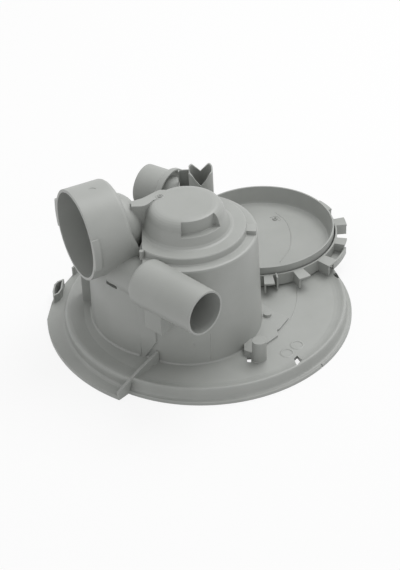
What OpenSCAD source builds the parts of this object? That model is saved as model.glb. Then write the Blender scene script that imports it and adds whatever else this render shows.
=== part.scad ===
// One-piece moulded pump housing, lying mouth down on its flange.
// Origin at the centre of the round flange on the plane it rests on, +Z up,
// the front pipe points towards -Y and +X, millimetres.

/* [Flange] */
// Radius of the round rim
flange_r = 125; // [123:0.5:130]
// Height of the rim face
rim_h = 3; // [2.4:0.1:4]
// Radius of the raised bead inside the rim
bead_r = 119; // [117:0.5:120]
// Height of the bead crest
bead_h = 13.2; // [12.4:0.1:15]
// Height of the floor around the pot
floor_h = 11; // [10:0.25:11.5]
// Thickness of the moulded plate
plate_t = 3; // [2:0.25:4]
// Radius of the wide lip on the left
lip_r = 145.8; // [143:0.2:149]
// Thickness of the wide lip
lip_t = 3.5; // [2.5:0.25:4]
// Radius of the screw pin
pin_r = 6; // [4:0.25:7]
// Height of the pin above the rest plane
pin_h = 30.5; // [24:0.5:38]

/* [Pot] */
// Distance of the pot axis from the flange centre, sideways
pot_x = -13.3; // [-15:0.1:-11]
// Distance of the pot axis from the flange centre, front to back
pot_y = -25; // [-27:0.1:-23]
// Radius of the pot at the floor
pot_r = 59.9; // [58.5:0.1:61]
// Radius of the pot below its shoulder
pot_top_r = 58.2; // [57.2:0.1:59]
// Height of the shoulder ledge
shoulder_h = 104; // [102:0.5:106]
// Height of the raised shelf
shelf_h = 110; // [108.5:0.5:111.5]
// Radius of the raised shelf
shelf_r = 49; // [47:0.25:51]
// Wall thickness of the pot
pot_wall = 3; // [2:0.25:4]

/* [Dome] */
// Radius of the dome at the shelf
dome_r = 37; // [35:0.25:39]
// Radius of the dome under its rounded edge
dome_top_r = 31; // [29:0.25:33]
// Height of the flat top of the dome
dome_h = 131.5; // [129:0.5:134]
// Height of the floor of the recess in the dome
recess_h = 119; // [116:0.5:122]
// Radius of the back wall of the recess
recess_r = 27; // [25:0.25:29]

/* [Side chamber] */
// Radius of the chamber wall
bulge_r = 77.1; // [75:0.1:79]
// Radius of the chamber wall at its roof
bulge_top_r = 74.9; // [73.5:0.1:76]
// Height of the chamber roof
bulge_h = 80; // [76:0.5:83]
// Wall thickness of the chamber
bulge_wall = 3; // [2:0.25:4]

/* [Large port] */
// Height of the port axis
port_z = 110; // [108:0.5:112]
// Outer radius of the port
port_r = 38.9; // [38:0.1:40]
// Inner radius of the port
port_bore_r = 36.4; // [34:0.1:37]
// Length of the wide part of the port
port_len = 33.5; // [31:0.5:35]
// Outer radius of the narrow part
neck_r = 28.3; // [27:0.1:29]
// Rounding of its closed end
neck_round = 20; // [16:0.5:22]
// Wall thickness of the narrow part
neck_wall = 3; // [2:0.25:4]
// Drop of the narrow part below the port axis
neck_drop = 3; // [1:0.25:4]
// Distance from the rim to the closed end
port_total = 55.4; // [54:0.2:58]

/* [Front pipe] */
// Height of the pipe axis
pipe_z = 91; // [89:0.5:93]
// Outer radius of the pipe at its mouth
pipe_r = 18.9; // [18.4:0.1:19.6]
// Outer radius of the pipe at its root
pipe_root_r = 20.3; // [19.8:0.1:21]
// Inner radius of the pipe
pipe_bore_r = 17.3; // [16:0.1:17.6]
// Length of the pipe
pipe_len = 67.5; // [64:0.5:72]
// Outer radius of the duct behind the pipe
duct_r = 17; // [16:0.25:18]
// Height of the duct axis
duct_z = 81; // [80.2:0.2:82.4]
// Wall thickness of the duct
duct_wall = 3; // [2:0.25:4]

/* [Rear tube] */
// Height of the tube axis
rear_z = 84; // [82:0.5:86]
// Outer radius of the tube
rear_r = 19; // [18.5:0.1:20]
// Inner radius of the tube
rear_bore_r = 17.2; // [16:0.1:17.6]
// Outer radius of the bell at the root of the tube
bell_r = 22.6; // [22:0.1:24]
// Height of the lowest point of the V cut
vee_h = 109.4; // [107:0.2:112]
// Outer radius of the V-cut duct
vee_r = 10.6; // [10:0.1:11.2]
// Wall of the V-cut duct
vee_wall = 1.3; // [1:0.1:2]

/* [Dish] */
// Distance of the dish centre from the flange centre, sideways
dish_x = 51.8; // [50:0.1:53]
// Distance of the dish centre from the flange centre, front to back
dish_y = 87.1; // [86:0.1:89]
// Outer radius of the dish rim
dish_r = 66; // [64.5:0.1:66.4]
// Height of the dish rim
dish_h = 30; // [27:0.25:34]
// Height of the dish floor
dish_floor_h = 14; // [13:0.25:16]
// Thickness of the dish rim
dish_rim_t = 1.3; // [1:0.1:2]
// Outer radius of the collar round the dish
collar_r = 68.7; // [68.2:0.1:69.2]
// Height of the collar
collar_h = 23.5; // [21:0.25:26]
// Height of the underside of the collar
collar_low = 12.5; // [12:0.25:13.5]
// Width of the gap between dish and collar
gap_w = 1.2; // [0.8:0.1:1.4]
// Thickness of the lugs on the collar
lug_t = 1.6; // [1.2:0.1:2.2]
// Reach of the low skirt beyond the collar
skirt_w = 10.3; // [8:0.1:12]

/* [Hidden] */
$fn = 96;
over = 1;                       // reach of a cut past the face it opens
pot_at = [pot_x, pot_y];
dish_at = [dish_x, dish_y];
under_h = floor_h - plate_t;    // underside of the flange plate
mid_h = floor_h - plate_t / 2;  // middle of the plate, where what stands on it starts
bulge_at = [-22.9, -0.4];
pot_flat_x = -50;               // place of the flat wall of the pot next to the port
lip_at = [6.5, 7.9];
lip_left = [lip_at.x - lip_r, lip_at.y];
lip_start = [-90, -133.4];      // direction in which the lip begins at the front
lip_end = [[-100, -11.9], [0.1, -11.9], [1.4, -0.9], [3.4, 14.4], [5.1, 22.1], [8.3, 30.6], [11.7, 37.5],
    [19.9, 54.1], [28.7, 69.1], [36.3, 64.1]];  // where the lip runs out, seen from its leftmost point
clip_wall = [[30.3, 68.6], [21.3, 54.1], [13, 37.1]];
clip_loop = [[13, 37.1], [8.7, 34.4], [6.2, 30.1], [5.3, 20.1], [6.1, 14.1], [9.9, 17.5], [12, 23.5],
    [12.5, 32.1], [13, 37.1]];
port_at = [-104.7, -32];
port_az = 25;
pipe_at = [-1.6, -122];
pipe_az = 135;
duct_side = 5.8;                // side of the duct, measured across from the pipe axis
duct_from = 55;                 // start of the duct, measured along the pipe
duct_to = 107;                  // end of its straight part
rear_at = [-48.7, 80.1];
rear_az = -35;
vee_at = [0.2, 45.8];
vee_rise = 9.5;                 // height of the lobes above the foot of the V cut
web_w = 12;                     // width of the web that ties the V-cut duct to the pot
arm_t = 22;                     // height of the arm from the dome to the port
side_slant = 19;                // slant of the fuller side of the port next to the pot
slot_at = [-78.2, -53];         // slot in the chamber wall
slot_z = 72.4;
slot_size = [12.4, 9, 3.1];
pin_at = [41.3, -81.5];         // screw pin, with the plans of its web and of the slit beside it
pin_web = [[29.3, -60], [36, -60], [38, -78], [36, -80], [29, -75]];
pin_slit = [[31, -78], [34.4, -78], [34, -85.5], [30.7, -85]];
patch_h = 2;                    // height of the raised patch on the floor, with its plan
patch = [[44, -4], [57.8, -20.2], [68.8, -29.7], [60.1, -44.4], [57.9, -46], [58.3, -53.3],
    [48.1, -63.4], [30, -66], [30, -20]];
boss_at = [51.2, -25];
rim_window = [[69.6, -83.5], [72.4, -79.7], [75.9, -87.3], [71.2, -95.5]];
floor_slit = [[112.1, 31.1], [114.9, 32.4], [117.7, 25.3], [115.8, 23.2], [112.7, 28]];
post_size = [9.5, 14, 65.5];    // post under the port
// First angle, last angle and reach of each lug on the collar
lugs = [[25, 39, 5], [3, 12, 9.5], [-21, -13, 9.5], [-46.5, -38, 13], [-69, -61, 13], [-91, -84.5, 12.5]];
rib_az = -82;                   // angle of the pointed rib between the lugs

// Lies a part along a horizontal direction, its local z pointing that way.
module lying(at, z, az) {
    translate([at.x, at.y, z]) rotate([0, 90, az]) children();
}

// A wall of even thickness that follows a line of points, each stretch lapping the next.
module ribbon(points, t, h) {
    for (i = [0 : len(points) - 2]) {
        a = points[i];
        b = points[i + 1];
        translate([a.x, a.y, 0]) rotate(atan2(b.y - a.y, b.x - a.x))
            translate([-t / 2, -t / 2, 0]) cube([norm(b - a) + t, t, h]);
    }
}

// Points of a quarter circle that closes a turned shape at its far end.
function round_end(r, end, round) =
    [for (t = [0 : 10 : 90]) [r - round * (1 - cos(t)), end - round * (1 - sin(t))]];

// A sector of a ring.
module ring_part(r1, r2, z1, z2, a1, a2) {
    rotate([0, 0, a1]) rotate_extrude(angle = a2 - a1)
        translate([r1, z1]) square([r2 - r1, z2 - z1]);
}

module flange() {
    rotate_extrude($fn = 180) polygon([
        [0, under_h], [0, floor_h], [bead_r - 9, floor_h], [bead_r - 6, floor_h + 0.4],
        [bead_r - 3.6, floor_h + 1.1], [bead_r - 2, bead_h - 0.4], [bead_r - 0.9, bead_h],
        [bead_r, bead_h], [bead_r + 0.7, bead_h - 0.4], [bead_r + 1.1, bead_h - 1.3],
        [bead_r + 1.3, rim_h + 4], [bead_r + 1.8, rim_h + 1.6], [bead_r + 2.6, rim_h + 0.4],
        [bead_r + 4, rim_h], [flange_r - 0.6, rim_h], [flange_r, rim_h - 0.6], [flange_r, 0],
        [bead_r + 2, 0], [bead_r - 0.4, 1.4], [bead_r - 1.6, 4], [bead_r - 2, under_h - 0.8],
        [bead_r - 3, under_h]]);
}

// The lip on the left, with the broad shoulder that stands beside it.
module wide_lip() {
    linear_extrude(lip_t) difference() {
        intersection() {
            translate(lip_at) circle(r = lip_r, $fn = 180);
            polygon(concat([[0, 0], lip_start, [-2 * lip_r, -lip_r]], [for (p = lip_end) lip_left + p]));
        }
        circle(r = bead_r + 3, $fn = 180);
    }
    rotate(150) rotate_extrude(angle = 87, $fn = 180) polygon([
        [bead_r - 14, mid_h], [bead_r - 14, floor_h - 0.2], [bead_r - 10, floor_h + 0.5],
        [bead_r - 6.5, floor_h + 1.2], [bead_r - 3.6, floor_h + 1.8], [bead_r - 1.2, bead_h + 0.1],
        [bead_r + 0.8, bead_h + 0.25], [bead_r + 2, bead_h + 0.1], [bead_r + 3.1, bead_h - 0.7],
        [bead_r + 3.7, bead_h - 2.2], [bead_r + 4.1, lip_t + 2], [bead_r + 5.2, lip_t + 0.5],
        [bead_r + 7, lip_t - 0.1], [bead_r + 7, 0.8], [bead_r - 0.5, 0.8]]);
}

// The pot, cut back to a flat wall above the chamber, where the port lies.
module pot(wall, low) {
    difference() {
        pot_shape(wall, low);
        translate([-90, -90, bulge_h - wall]) cube([90 + pot_flat_x + wall, 130, dome_h]);
    }
}

module pot_shape(wall, top) {
    translate(pot_at) rotate_extrude($fn = 144) polygon([
        [0, top], [0, dome_h - wall], [dome_top_r - 8.5 - wall, dome_h - wall],
        [dome_top_r - 6 - wall, dome_h - 0.3 - wall], [dome_top_r - 3.8 - wall, dome_h - 1.1 - wall],
        [dome_top_r - 2 - wall, dome_h - 2.4 - wall], [dome_top_r - 0.6 - wall, dome_h - 4.2 - wall],
        [dome_top_r + 0.3 - wall, dome_h - 6.4 - wall], [dome_top_r + 0.9 - wall, dome_h - 9 - wall],
        [dome_r - 2.2 - wall, shelf_h + 5 - wall], [dome_r - 1.2 - wall, shelf_h + 2.4 - wall],
        [dome_r + 0.2 - wall, shelf_h + 0.8 - wall], [dome_r + 2 - wall, shelf_h - wall],
        [shelf_r - 0.8 - wall, shelf_h - wall],
        [shelf_r - wall, shelf_h - 0.8 - wall], [shelf_r + 0.7 - wall, shoulder_h + 0.6 - wall],
        [shelf_r + 1.4 - wall, shoulder_h - wall], [pot_top_r - 2.2 - wall, shoulder_h - wall],
        [pot_top_r - 0.6 - wall, shoulder_h - 0.6 - wall], [pot_top_r - wall, shoulder_h - 2 - wall],
        [pot_r - wall, floor_h], [pot_r - wall, top]]);
}

// Small roundings round the foot of the pot and of the chamber.
module foot() {
    for (ring = [[pot_at, pot_r, 0, 360], [bulge_at, bulge_r, 178, 243]])
        translate([ring[0].x, ring[0].y, floor_h]) rotate(ring[2])
            rotate_extrude(angle = ring[3] - ring[2], $fn = 144) translate([ring[1], 0])
                polygon([[-1, mid_h - floor_h], [0.9, mid_h - floor_h], [0.9, 0.12], [0.5, 0.45],
                    [0.1, 1], [-1, 1]]);
}

// The side chamber, tapered, with a straight stretch under the port; it ends clear of the rear tube.
module bulge(wall, low) {
    difference() {
        translate([0, 0, low]) {
            translate(bulge_at)
                cylinder(h = bulge_h - wall - low, r1 = bulge_r - wall, r2 = bulge_top_r - wall, $fn = 144);
            translate([-97.9 + wall, 2 + wall, 0]) cube([30, 28 - 2 * wall, bulge_h - wall - low]);
        }
        translate([-wall, 0, -2 * over]) linear_extrude(bulge_h + 3 * over) polygon([
            [-58.2, -70.5], [60, -128.4], [150, 0], [60, 150], [-76, 71], [-50, 53], [-50, 30], [0, -20],
            [-45, -60]]);
    }
}

// Inside of the chamber, which leaves the wall of the port whole.
module bulge_inside() {
    difference() {
        bulge(bulge_wall, -over);
        lying(port_at, port_z, port_az) cylinder(h = port_total, r = port_r);
    }
}

module port_outer() {
    lying(port_at, port_z, port_az) {
        rotate_extrude($fn = 120) polygon([
            [0, 0], [port_r - 0.3, 0], [port_r, 0.3], [port_r, port_len - 1.5], [port_r - 0.5, port_len],
            [port_r - 1.9, port_len + 1.6], [port_r - 4.4, port_len + 2.9], [port_r - 8, port_len + 3.8],
            [0, port_len + 3.8]]);
        // narrow part with a round closed end, set a little lower
        translate([neck_drop, 0, 0]) rotate_extrude($fn = 120)
            polygon(concat([[0, port_len], [neck_r, port_len]], round_end(neck_r, port_total, neck_round)));
        // fuller side next to the pot, which runs out upwards along a slant
        difference() {
            rotate(240) rotate_extrude(angle = 100) polygon([
                [24, port_len - 2], [port_r - 0.2, port_len - 2], [port_r - 0.2, port_len + 8],
                [port_r - 1.2, port_len + 9.4], [port_r - 3, port_len + 10.2], [24, port_len + 10.2]]);
            translate([-15, -port_r, port_len]) rotate([0, -side_slant, 0]) translate([-port_r, -over, 0])
                cube([3 * port_r, 3 * port_r, 20]);
        }
        ring_part(port_r - 1, port_r + 2.2, 0, 6, 247, 288);
        ring_part(port_r - 1, port_r + 6, 1, 5, 70, 104);
    }
}

module port_bore() {
    lying(port_at, port_z, port_az) {
        rotate_extrude($fn = 120) polygon([
            [0, -over], [port_bore_r, -over], [port_bore_r, port_len - 4.5],
            [port_bore_r - 1.6, port_len - 2], [port_bore_r - 5, port_len], [0, port_len + 0.6]]);
        translate([neck_drop, 0, 0]) rotate_extrude($fn = 120)
            polygon(concat([[0, port_len - 2], [neck_r - neck_wall, port_len - 2]],
                round_end(neck_r - neck_wall, port_total - neck_wall, neck_round - neck_wall)));
    }
    // way down into the chamber
    translate([port_at.x, port_at.y, 0]) rotate(port_az) translate([40, 0, 70]) cylinder(h = 30, r = 14);
}

module pipe_outer() {
    lying(pipe_at, pipe_z, pipe_az) {
        rotate_extrude() polygon([
            [0, 0], [pipe_r, 0], [pipe_root_r, pipe_len - 5], [pipe_root_r - 0.4, pipe_len - 3],
            [pipe_root_r - 1.4, pipe_len - 1.3], [pipe_root_r - 3.4, pipe_len], [0, pipe_len]]);
        translate([pipe_z - duct_z, duct_side - duct_r, duct_from]) {
            cylinder(h = duct_to - duct_from, r = duct_r);
            translate([0, 0, duct_to - duct_from]) cylinder(h = 5, r1 = duct_r, r2 = duct_r - 5);
        }
    }
    // flat pad under the pipe
    translate([pipe_at.x, pipe_at.y]) rotate(pipe_az)
        translate([47.1, -12, 48]) cube([18.9, 16.2, pipe_z - 48 - pipe_r / 2]);
}

module pipe_bore() {
    lying(pipe_at, pipe_z, pipe_az) {
        translate([0, 0, -over]) cylinder(h = pipe_len - 8, r = pipe_bore_r);
        translate([pipe_z - duct_z, duct_side - duct_r, duct_from - 3])
            cylinder(h = duct_to - duct_from - 9, r = duct_r - duct_wall);
    }
}

// Arm from the dome to the round end of the port.
module arm() {
    translate([0, 0, dome_h - arm_t]) linear_extrude(arm_t)
        polygon([
            [-57.5, -26.6], [-49.4, -26.9], [-46.8, -26.1], [-44.4, -24.4], [-42.1, -21.9], [-39.6, -18.4],
            [-30, -16], [-28, -4], [-34, -3.5], [-38, -6], [-42.6, -10.1], [-48.7, -15], [-57.5, -18.6]]);
}

module vee_tube(z1, z2, r) {
    translate([vee_at.x, vee_at.y, z1]) linear_extrude(z2 - z1) {
        translate([0, 2.2]) circle(r = r);
        translate([0, -2.2]) circle(r = r);
        square([2 * r, 4.4], center = true);
    }
}

module rear_tube_outer() {
    lying(rear_at, rear_z, rear_az) rotate_extrude($fn = 96) polygon([
        [0, 0], [rear_r, 0], [rear_r, 22], [bell_r - 0.6, 24.5], [bell_r, 26], [bell_r, 30],
        [bell_r - 1.4, 30], [bell_r - 4, 25], [15.5, 25], [15, 30], [15, 60], [13, 62], [0, 62]]);
    // web from the V-cut duct to the pot
    translate([vee_at.x - web_w / 2, pot_at.y + pot_top_r - 6, 66])
        cube([web_w, vee_at.y - pot_at.y - pot_top_r + 6, 23]);
    // chute beside the bell
    translate([-19, 42, 66]) cube([11, 16, 45.6]);
    vee_tube(66, vee_h + vee_rise, vee_r);
}

module rear_cuts() {
    lying(rear_at, rear_z, rear_az) {
        translate([0, 0, -over]) cylinder(h = 22 + over, r = rear_bore_r);
        cylinder(h = 56, r = 12);
    }
    translate([-17.9, 43.2, 68]) cube([8.2, 13.6, 50]);
    translate([-20, 41, 101]) cube([10.3, 13.5, 20]);
    vee_tube(80, vee_h + 40, vee_r - vee_wall);
    translate([vee_at.x, vee_at.y, vee_h]) rotate([90, 0, 0]) translate([0, 0, -20])
        linear_extrude(40) polygon([
            [0, 0], [4, 4.6], [6.6, 8.2], [7.6, 9.2], [8.8, vee_rise], [vee_r - 0.4, 9.1],
            [vee_r + over, 7.6], [vee_r + over, 30], [-vee_r - over, 30], [-vee_r - over, 7.6],
            [0.4 - vee_r, 9.1], [-8.8, vee_rise], [-7.6, 9.2], [-6.6, 8.2], [-4, 4.6]]);
}

// The shallow dish and the collar round it, one turned shape with a ring-shaped gap.
module dish() {
    translate(dish_at) rotate_extrude($fn = 180) polygon([
        [0, under_h + 2.5], [0, dish_floor_h], [dish_r - 6, dish_floor_h],
        [dish_r - 4.7, dish_floor_h + 0.4], [dish_r - 3.9, dish_floor_h + 2.4],
        [dish_r - dish_rim_t, dish_h], [dish_r, dish_h], [dish_r - 0.2, collar_low + 2.5],
        [dish_r + gap_w, collar_low + 2.5], [dish_r + gap_w, collar_h], [collar_r, collar_h],
        [collar_r, collar_low], [collar_r - 2, collar_low], [collar_r - 2, under_h + 2.5]]);
}

// Lugs on the collar, each a flat top with a wall under one side.
module dish_lugs() {
    translate(dish_at) {
        for (lug = lugs) {
            ring_part(collar_r - 0.4, collar_r + lug[2], collar_h - lug_t, collar_h, lug[0], lug[1]);
            rotate(lug[0]) translate([collar_r - 0.4, 0, collar_low + 1])
                cube([lug[2], lug_t, collar_h - collar_low - 1]);
        }
        // low skirt and pointed rib between the lugs
        ring_part(collar_r - 0.4, collar_r + skirt_w, collar_low + 0.5, collar_low + lug_t, -39, -19);
        ring_part(collar_r + skirt_w - lug_t, collar_r + skirt_w, collar_low + 0.5, collar_h - 4, -39, -19);
        rotate(rib_az) translate([collar_r - 0.4, -0.7, collar_low + 0.5])
            cube([7, 1.4, collar_h - collar_low + 1.2]);
    }
}

// A plate that stands upright along a line, from its outline seen from the side.
module upright(at, az, thick, outline) {
    translate([at.x, at.y, 0]) rotate([90, 0, az]) translate([0, 0, -thick / 2])
        linear_extrude(thick) polygon(outline);
}

// Screw pin with its web, and a raised patch with a boss, all on the floor.
module floor_features() {
    translate([pin_at.x, pin_at.y, mid_h]) cylinder(h = pin_h - mid_h, r = pin_r);
    translate([boss_at.x, boss_at.y, mid_h]) cylinder(h = 6, r = 3.4, $fn = 48);
    translate([0, 0, mid_h]) {
        linear_extrude(6.5) polygon(pin_web);
        linear_extrude(floor_h - mid_h + patch_h) polygon(patch);
    }
}

module wall_features() {
    // rib across the bead
    upright([-45, -80.4], -134, 2.4, [
        [-3.6, mid_h], [-3.6, 21.6], [5.8, 19.5], [17.9, 16.5], [30, 13], [44.6, 8.4], [44.6, 0.6],
        [34, 0.6], [30, mid_h]]);
    // gusset plate from the chamber wall, standing clear of the pot
    upright([-56.5, -67.8], -35, 1.6, [
        [0, mid_h], [4.8, mid_h], [4.8, 11.6], [11.3, 22], [16.8, 31], [16.6, 40], [16.6, 62],
        [0, bulge_h - 4]]);
    // post under the port
    translate([-107.3, 11, mid_h]) cube(post_size);
    // nub between the port and the pot
    translate([-50.4, -60.6, shoulder_h - 1]) cylinder(h = 8, r = 1.8, $fn = 48);
    // lug on the shoulder
    translate(pot_at) ring_part(shelf_r - 1, pot_top_r - 0.8, shoulder_h - 1, shoulder_h + 3.4, -11, 0);
}

// Clip on the lip, with the wall that leads to it.
module clip() {
    translate([lip_left.x, lip_left.y, 0.5]) {
        ribbon(clip_wall, 1.6, lip_t + 8.4);
        ribbon(clip_loop, 1.4, lip_t + 7.5);
    }
}

module small_cuts() {
    // openings in the floor and the rim
    translate([0, 0, -over]) linear_extrude(pin_h) {
        polygon(rim_window);
        polygon(pin_slit);
    }
    translate([0, 0, under_h - over]) linear_extrude(bead_h - under_h + 2 * over) polygon(floor_slit);
    rotate(-42) translate([flange_r - 1.5, -0.6, -over]) cube([3, 1.2, rim_h + 2 * over]);
    // slot in the chamber wall
    translate([slot_at.x, slot_at.y, slot_z]) rotate(-36) cube(slot_size, center = true);
    // recess in the dome
    translate(pot_at) ring_part(recess_r, dome_r + 20, recess_h, dome_h + over, -98.5, -34);
}

module pump_housing() {
    color([0.62, 0.63, 0.61]) difference() {
        union() {
            flange();
            wide_lip();
            pot(0, under_h);
            bulge(0, 0);
            foot();
            arm();
            port_outer();
            pipe_outer();
            rear_tube_outer();
            dish();
            dish_lugs();
            floor_features();
            wall_features();
            clip();
        }
        difference() {
            pot(pot_wall, -over);
            translate(pot_at)
                ring_part(recess_r - pot_wall, dome_r, recess_h - pot_wall, dome_h, -102, -30.5);
        }
        bulge_inside();
        port_bore();
        pipe_bore();
        rear_cuts();
        small_cuts();
    }
}

pump_housing();
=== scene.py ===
# Grey one-piece moulded pump housing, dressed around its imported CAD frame.
from math import atan2, cos, pi, radians, sin
import bpy
import numpy as np
from mathutils import Matrix, Vector


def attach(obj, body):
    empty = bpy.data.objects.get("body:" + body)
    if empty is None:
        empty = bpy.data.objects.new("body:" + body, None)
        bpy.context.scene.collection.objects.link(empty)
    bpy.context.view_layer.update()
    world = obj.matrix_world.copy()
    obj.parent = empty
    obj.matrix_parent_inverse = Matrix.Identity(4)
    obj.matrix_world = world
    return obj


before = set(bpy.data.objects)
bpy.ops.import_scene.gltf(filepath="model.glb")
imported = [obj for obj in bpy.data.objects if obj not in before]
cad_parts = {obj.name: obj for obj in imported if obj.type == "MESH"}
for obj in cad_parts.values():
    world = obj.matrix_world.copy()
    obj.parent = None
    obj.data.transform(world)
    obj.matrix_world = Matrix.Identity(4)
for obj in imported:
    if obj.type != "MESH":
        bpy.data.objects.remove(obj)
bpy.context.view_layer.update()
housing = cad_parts["pump_housing"]
print("frame loaded")

# photograph frame, 400 by 570, and the camera found from it (angles in degrees, distance in metres)
view = {
    "imageWidth": 400,
    "focalPixels": 1725.691,
    "distance": 1.5,
    "elevation": 36.7723,
    "pitch": -35.83097,
    "yaw": -0.24136,
    "roll": -3.05004,
    "sensor": 36.0,
}


def placeCamera(v):
    # camera on a circle of the given elevation, turned by pitch and yaw, then rolled about its own line of sight
    e, p, y, roll = (radians(v[k]) for k in ("elevation", "pitch", "yaw", "roll"))
    place = v["distance"] * np.array([0, -cos(e), sin(e)])
    ahead = np.array([sin(y) * cos(p), cos(y) * cos(p), sin(p)])
    right = np.cross(ahead, [0, 0, 1])
    right = right / np.linalg.norm(right)
    up = np.cross(right, ahead)
    turned = np.eye(4)
    turned[:3, 0] = cos(roll) * right + sin(roll) * up
    turned[:3, 1] = cos(roll) * up - sin(roll) * right
    turned[:3, 2] = -ahead
    turned[:3, 3] = place
    lens = bpy.data.cameras.new("photoCamera")
    lens.sensor_fit = "HORIZONTAL"
    lens.sensor_width = v["sensor"]
    lens.lens = v["focalPixels"] / v["imageWidth"] * v["sensor"]
    lens.clip_start = 0.05
    lens.clip_end = 40
    camera = bpy.data.objects.new("photoCamera", lens)
    bpy.context.scene.collection.objects.link(camera)
    camera.matrix_world = Matrix(turned.tolist())
    bpy.context.scene.camera = camera


placeCamera(view)
print("camera placed")


class Socket:
    # an output socket that takes part in plain sums and products

    def __init__(self, tree, socket):
        self.tree = tree
        self.socket = socket

    def maths(self, operation, first, second=0.0):
        return self.tree.add("ShaderNodeMath", {"operation": operation}, {0: first, 1: second})

    def __add__(self, other):
        return self.maths("ADD", self, other)

    def __radd__(self, other):
        return self.maths("ADD", other, self)

    def __sub__(self, other):
        return self.maths("SUBTRACT", self, other)

    def __rsub__(self, other):
        return self.maths("SUBTRACT", other, self)

    def __mul__(self, other):
        return self.maths("MULTIPLY", self, other)

    def __rmul__(self, other):
        return self.maths("MULTIPLY", other, self)

    def __truediv__(self, other):
        return self.maths("DIVIDE", self, other)

    def __pow__(self, other):
        return self.maths("POWER", self, other)

    def least(self, other):
        return self.maths("MINIMUM", self, other)

    def most(self, other):
        return self.maths("MAXIMUM", self, other)


class NodeTree:
    # the node tree of a material or of the world

    def __init__(self, owner):
        owner.use_nodes = True
        self.tree = owner.node_tree
        self.tree.nodes.clear()

    def add(self, kind, settings=None, sockets=None, out=0):
        node = self.tree.nodes.new(kind)
        for key, value in (settings or {}).items():
            if key == "stops":
                ramp = node.color_ramp
                while len(ramp.elements) < len(value):
                    ramp.elements.new(0.5)
                for element, (position, colour) in zip(ramp.elements, value):
                    element.position = position
                    element.color = colour
            else:
                setattr(node, key, value)
        for key, value in (sockets or {}).items():
            if isinstance(value, Socket):
                self.tree.links.new(value.socket, node.inputs[key])
            else:
                node.inputs[key].default_value = value
        return Socket(self, node.outputs[out]) if len(node.outputs) else None

    def mixColours(self, mask, first, second):
        return self.add("ShaderNodeMix", {"data_type": "RGBA"}, {0: mask, 6: first, 7: second}, 2)


# moulded grey plastic: colours are linear, lengths in metres
plastic = {
    "paler": (0.372, 0.382, 0.366, 1),
    "deeper": (0.33, 0.34, 0.323, 1),
    # edge: the paler colour of the painted highlight along edges
    "edge": (0.52, 0.53, 0.515, 1),
    "edgeRadius": 0.0006,
    "roughness": 0.42,
    "grainHeight": 0.00006,
}


def mouldedPlastic(name, p):
    # broad pale clouds from the melt, a fine spark-eroded grain, and a painted highlight that colours edges paler
    # than the flats
    material = bpy.data.materials.new(name)
    t = NodeTree(material)
    place = t.add("ShaderNodeTexCoord", out="Object")
    clouds = t.add("ShaderNodeTexNoise", None, {"Vector": place, "Scale": 21.0, "Detail": 4.0, "Roughness": 0.55})
    grain = t.add("ShaderNodeTexNoise", None, {"Vector": place, "Scale": 1450.0, "Detail": 2.0})
    rounded = t.add("ShaderNodeBevel", {"samples": 8}, {"Radius": p["edgeRadius"]})
    flat = t.add("ShaderNodeNewGeometry", out="Normal")
    facing = t.add("ShaderNodeVectorMath", {"operation": "DOT_PRODUCT"}, {0: rounded, 1: flat}, "Value")
    # painted highlight: where the rounded normal turns away from the flat one, at edges, the colour is mixed paler,
    # mottled by the grain
    paintedEdgeHighlight = ((1 - facing) * 2.6).least(1.0).most(0.0)
    body = t.mixColours((clouds - 0.32) * 2.6, p["deeper"], p["paler"])
    colour = t.mixColours(paintedEdgeHighlight * (0.35 + grain * 0.5), body, p["edge"])
    relief = t.add(
        "ShaderNodeBump", None,
        {"Strength": 0.35, "Distance": p["grainHeight"], "Height": grain, "Normal": rounded})
    surface = t.add("ShaderNodeBsdfPrincipled", None, {
        "Base Color": colour,
        "Roughness": p["roughness"] + (clouds - 0.5) * 0.16 + (grain - 0.5) * 0.1,
        "Normal": relief,
        "IOR": 1.5,
    })
    t.add("ShaderNodeOutputMaterial", None, {"Surface": surface})
    return material


greyPlastic = mouldedPlastic("greyPlastic", plastic)
for materialSlot in housing.material_slots:
    materialSlot.link = "OBJECT"
    materialSlot.material = greyPlastic
print("grey plastic made")


def makePiece(name, points, faces):
    # a mesh piece of grey plastic that rides on the one body
    mesh = bpy.data.meshes.new(name)
    mesh.from_pydata(np.round(points, 8).tolist(), [], faces)
    mesh.polygons.foreach_set("use_smooth", np.ones(len(mesh.polygons), bool))
    mesh.update()
    piece = bpy.data.objects.new(name, mesh)
    bpy.context.scene.collection.objects.link(piece)
    mesh.materials.append(greyPlastic)
    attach(piece, "root")
    return piece


def carryProfile(path, upward, profile, closed):
    # a closed outline (across, up) carried along a line on a surface; across is the line's direction turned
    # about the upward normal, and each ring of the outline is joined to the next
    path = np.asarray(path, float)
    upward = np.broadcast_to(np.asarray(upward, float), path.shape)
    if closed:
        along = np.roll(path, -1, 0) - np.roll(path, 1, 0)
    else:
        along = np.gradient(path, axis=0)
    across = np.cross(along, upward)
    across = across / np.linalg.norm(across, axis=1)[:, None]
    profile = np.asarray(profile, float)
    if profile.ndim == 2:
        profile = np.broadcast_to(profile, (len(path),) + profile.shape)
    grid = (path[:, None] + across[:, None] * profile[..., :1] + upward[:, None] * profile[..., 1:])
    rows, width = grid.shape[:2]
    spans = rows if closed else rows - 1
    i, j = np.meshgrid(np.arange(spans), np.arange(width), indexing="ij")
    nextRow, nextPlace = (i + 1) % rows, (j + 1) % width
    quads = np.stack([i * width + j, nextRow * width + j, nextRow * width + nextPlace, i * width + nextPlace], -1)
    faces = quads.reshape(-1, 4).tolist()
    if not closed:
        faces.append(list(range(width)))
        faces.append([(rows - 1) * width + k for k in reversed(range(width))])
    return grid.reshape(-1, 3), faces


def joined(parts):
    # several meshes as one, with the numbers of their points moved on
    points = np.concatenate([p for p, f in parts])
    starts = np.cumsum([0] + [len(p) for p, f in parts[:-1]])
    faces = [[int(start) + k for k in face] for start, (p, f) in zip(starts, parts) for face in f]
    return points, faces


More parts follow.
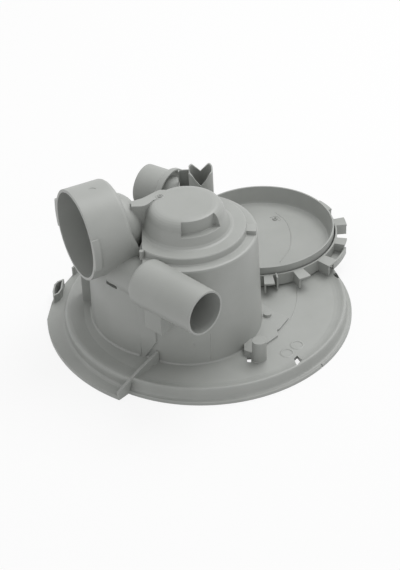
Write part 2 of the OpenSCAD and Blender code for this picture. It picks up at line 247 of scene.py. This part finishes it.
def circlePath(centre, radius, first=0, last=360, steps=72):
    # points of a level arc round a centre, anticlockwise from above
    angles = np.radians(np.linspace(first, last, steps, endpoint=(last - first) < 360))
    return np.stack([
        centre[0] + radius * np.cos(angles),
        centre[1] + radius * np.sin(angles),
        np.full(steps, centre[2])], -1)


def dimpleOutline(slope, height, sink):
    # a bank that rises gently from outside and falls steeply inwards, with its foot sunk in the surface
    outside = np.linspace(1, 0, 7)
    bank = np.stack([slope * outside, height * (1 - outside ** 1.6) - sink * outside ** 8], -1)
    return np.concatenate([[[-0.0003, -sink]], bank[::-1] + [0, 0], [[slope, -sink - 0.0003], [-0.0003, -sink - 0.0003]]])


def ridgeOutline(width, height, sink=0.0003):
    # a low rounded ridge, half a cosine wave high, closed underneath the surface
    s = np.linspace(-1, 1, 9)
    top = np.stack([s * width / 2, height * (0.5 + 0.5 * np.cos(pi * s))], -1)
    return np.concatenate([top, [[width / 2, -sink], [-width / 2, -sink]]])


def smoothLine(knots, steps):
    # a smooth curve through its knots: Catmull-Rom cubics, worked out for all stretches at once
    k = np.asarray(knots, float)
    k = np.concatenate([2 * k[:1] - k[1:2], k, 2 * k[-1:] - k[-2:-1]])
    t = np.linspace(0, len(knots) - 1, steps)
    n = np.minimum(t.astype(int), len(knots) - 2)
    s = (t - n)[:, None]
    a, b, c, d = k[n], k[n + 1], k[n + 2], k[n + 3]
    return 0.5 * (2 * b + (c - a) * s + (2 * a - 5 * b + 4 * c - d) * s ** 2 + (3 * b - a - 3 * c + d) * s ** 3)


# bare round marks on the floor beside the pot, from the mould's inserts
floorMarks = {
    "centres": ((0.0734, -0.0656), (0.0643, -0.0757)),
    "level": 0.011,
    "radius": 0.0046,
    "bank": 0.0016,
    "height": 0.0004,
}


def makeFloorMarks(m):
    parts = []
    for x, y in m["centres"]:
        ring = circlePath((x, y, m["level"]), m["radius"])
        parts.append(carryProfile(ring, (0, 0, 1), dimpleOutline(m["bank"], m["height"], 0.00005), True))
    makePiece("floor_round_marks", *joined(parts))


makeFloorMarks(floorMarks)

# gate mark on the floor of the dish: part of a ring round a small nipple
dishMark = {
    "centre": (0.0666, 0.1204, 0.014),
    "ringRadius": 0.0042,
    "nippleRadius": 0.0013,
    "nippleHeight": 0.0011,
}

# gate mark on top of the dome
domeMark = {
    "centre": (-0.0339, -0.0137, 0.1315),
    "ringRadius": 0.0028,
    "nippleRadius": 0.0009,
    "nippleHeight": 0.0008,
}


def makeGateMark(name, m, first, last):
    ring = circlePath(m["centre"], m["ringRadius"], first, last)
    bank = carryProfile(ring, (0, 0, 1), dimpleOutline(0.0012, 0.00045, 0.00005), (last - first) >= 360)
    r, h = m["nippleRadius"], m["nippleHeight"]
    # the nipple is the ring of a rounded outline with a dimple in its middle
    s = np.linspace(0, 1, 9)
    crown = np.stack([r * (1.15 - s), h * np.sin(pi * (0.08 + 0.72 * s)) ** 0.6], -1)
    outline = np.concatenate([crown[:, :] * [-1, 1] + [r * 1.0, 0], [[r * 0.85, -0.0003], [-r * 0.15, -0.0003]]])
    nipple = carryProfile(circlePath(m["centre"], r, steps=36), (0, 0, 1), outline, True)
    makePiece(name, *joined([bank, nipple]))


makeGateMark("dish_gate_mark", dishMark, -40, 150)
makeGateMark("dome_gate_mark", domeMark, 0, 360)

# faint witness lines of the mould's parts on the dish floor and on the flange floor
witness = {
    "dish": ((67.4, 132.0), (75.7, 117.9), (79.1, 101.1), (78.9, 85.0), (76.0, 69.3), (70.8, 58.8), (66.8, 51.4)),
    "dishLevel": 14.0,
    "flange": ((79.3, 16.5), (78.0, -2.5), (74.1, -19.6), (70.0, -30.6)),
    "flangeLevel": 11.0,
    "dishRidge": (0.0011, 0.00022),
    "flangeRidge": (0.0012, 0.00012),
}


def makeWitnessLines(w):
    for name in ("dish", "flange"):
        knots = [(x / 1000, y / 1000, w[name + "Level"] / 1000) for x, y in w[name]]
        line = smoothLine(knots, 60)
        makePiece(name + "_witness_line", *carryProfile(line, (0, 0, 1), ridgeOutline(*w[name + "Ridge"]), False))


makeWitnessLines(witness)
print("marks and witness lines made")

# wall of the pot, as the CAD has it: a slightly tapered cone
potWall = {
    "axis": (-0.0133, -0.025),
    "footRadius": 0.0599,
    "footLevel": 0.011,
    "topRadius": 0.0582,
    "topLevel": 0.102,
    "seamFrom": (0.0021, -0.0823, 0.041),
    "seamTo": (0.0011, -0.083, 0.0135),
    "nick": (-0.01165, -0.08447, 0.0311),
}


def onPotWall(w, angle, level):
    # points of the wall at these angles and levels, with the outward normals
    share = (level - w["footLevel"]) / (w["topLevel"] - w["footLevel"])
    radius = w["footRadius"] + (w["topRadius"] - w["footRadius"]) * share
    outward = np.stack([np.cos(angle), np.sin(angle), np.zeros_like(angle)], -1)
    axis = np.array([w["axis"][0], w["axis"][1], 0.0])
    return axis + outward * radius[:, None] + np.array([0, 0, 1.0]) * level[:, None], outward


def potAngle(w, place):
    return atan2(place[1] - w["axis"][1], place[0] - w["axis"][0])


def makePotDetails(w):
    steps = 24
    angle = np.linspace(potAngle(w, w["seamFrom"]), potAngle(w, w["seamTo"]), steps)
    level = np.linspace(w["seamFrom"][2], w["seamTo"][2], steps)
    seam = carryProfile(*onPotWall(w, angle, level), ridgeOutline(0.0009, 0.00016), False)
    # the nick is a short ridge whose height and width grow and fade along it
    s = np.linspace(-1, 1, 17)
    level = w["nick"][2] + 0.0017 * s
    swell = np.sqrt(np.clip(1 - s ** 2, 0.004, 1))
    outline = np.stack([ridgeOutline(0.0015 * k, 0.0006 * k) for k in swell])
    nick = carryProfile(*onPotWall(w, np.full(17, potAngle(w, w["nick"])), level), outline, False)
    makePiece("pot_wall_marks", *joined([seam, nick]))


makePotDetails(potWall)

# short arc moulded on top of the side port, whose axis lies level
portArc = {
    "mouth": (-0.1047, -0.032, 0.11),
    "azimuth": 25.0,
    "radius": 0.0389,
    "centre": (-0.08765, -0.0262),
    "arcRadius": 0.0034,
}


def makePortArc(p):
    # the arc is laid out from above and lifted on to the port's round top
    angles = np.radians(np.linspace(28, 152, 24))
    flat = np.stack([p["centre"][0] + p["arcRadius"] * np.cos(angles),
                     p["centre"][1] + p["arcRadius"] * np.sin(angles)], -1)
    a = radians(p["azimuth"])
    side = (flat - np.array(p["mouth"][:2])) @ np.array([-sin(a), cos(a)])
    height = np.sqrt(p["radius"] ** 2 - side ** 2)
    line = np.column_stack([flat, p["mouth"][2] + height])
    normal = np.column_stack([-sin(a) * side, cos(a) * side, height]) / p["radius"]
    fade = np.sqrt(np.clip(1 - np.linspace(-1, 1, 24) ** 6, 0.02, 1))
    outline = np.stack([ridgeOutline(0.0011 * k, 0.0005 * k) for k in fade])
    makePiece("port_arc_mark", *carryProfile(line, normal, outline, False))


makePortArc(portArc)
print("marks on the walls made")

studio = {
    "floorColour": (0.8, 0.8, 0.8, 1),
    "floorGlow": 0.86,
    "worldStrength": 0.7,
    "lampPlace": (0.5, 0.5, 1.3),
    "lampSize": 0.9,
    "lampPower": 11.0,
}


def makeStudio(s):
    # the floor is white to the camera and to reflections, and keeps some of the object's shadow
    mesh = bpy.data.meshes.new("floor")
    mesh.from_pydata([(-4, -4, 0), (4, -4, 0), (4, 4, 0), (-4, 4, 0)], [], [(0, 1, 2, 3)])
    floor = bpy.data.objects.new("floor", mesh)
    bpy.context.scene.collection.objects.link(floor)
    material = bpy.data.materials.new("paleFloor")
    t = NodeTree(material)
    path = {k: t.add("ShaderNodeLightPath", out=k) for k in ("Is Camera Ray", "Is Glossy Ray", "Is Transmission Ray")}
    seen = path["Is Camera Ray"].most(path["Is Glossy Ray"]).most(path["Is Transmission Ray"])
    paint = t.add("ShaderNodeBsdfDiffuse", None, {"Color": s["floorColour"]})
    glow = t.add("ShaderNodeEmission", None, {"Color": (1, 1, 1, 1), "Strength": 1.0})
    mixed = t.add("ShaderNodeMixShader", None, {0: seen * s["floorGlow"], 1: paint, 2: glow})
    t.add("ShaderNodeOutputMaterial", None, {"Surface": mixed})
    mesh.materials.append(material)

    world = bpy.data.worlds.new("studio")
    bpy.context.scene.world = world
    t = NodeTree(world)
    path = {k: t.add("ShaderNodeLightPath", out=k) for k in ("Is Camera Ray", "Is Glossy Ray", "Is Transmission Ray")}
    seen = path["Is Camera Ray"].most(path["Is Glossy Ray"]).most(path["Is Transmission Ray"])
    strength = s["worldStrength"] + seen * (1 - s["worldStrength"])
    sky = t.add("ShaderNodeBackground", None, {"Color": (1, 1, 1, 1), "Strength": strength})
    t.add("ShaderNodeOutputWorld", None, {"Surface": sky})

    light = bpy.data.lights.new("softbox", "AREA")
    light.size = s["lampSize"]
    light.energy = s["lampPower"]
    lamp = bpy.data.objects.new("softbox", light)
    bpy.context.scene.collection.objects.link(lamp)
    lamp.location = s["lampPlace"]
    lamp.rotation_euler = (-Vector(s["lampPlace"])).to_track_quat("-Z", "Y").to_euler()
    bpy.context.scene.view_settings.view_transform = "Standard"


makeStudio(studio)
print("studio made")
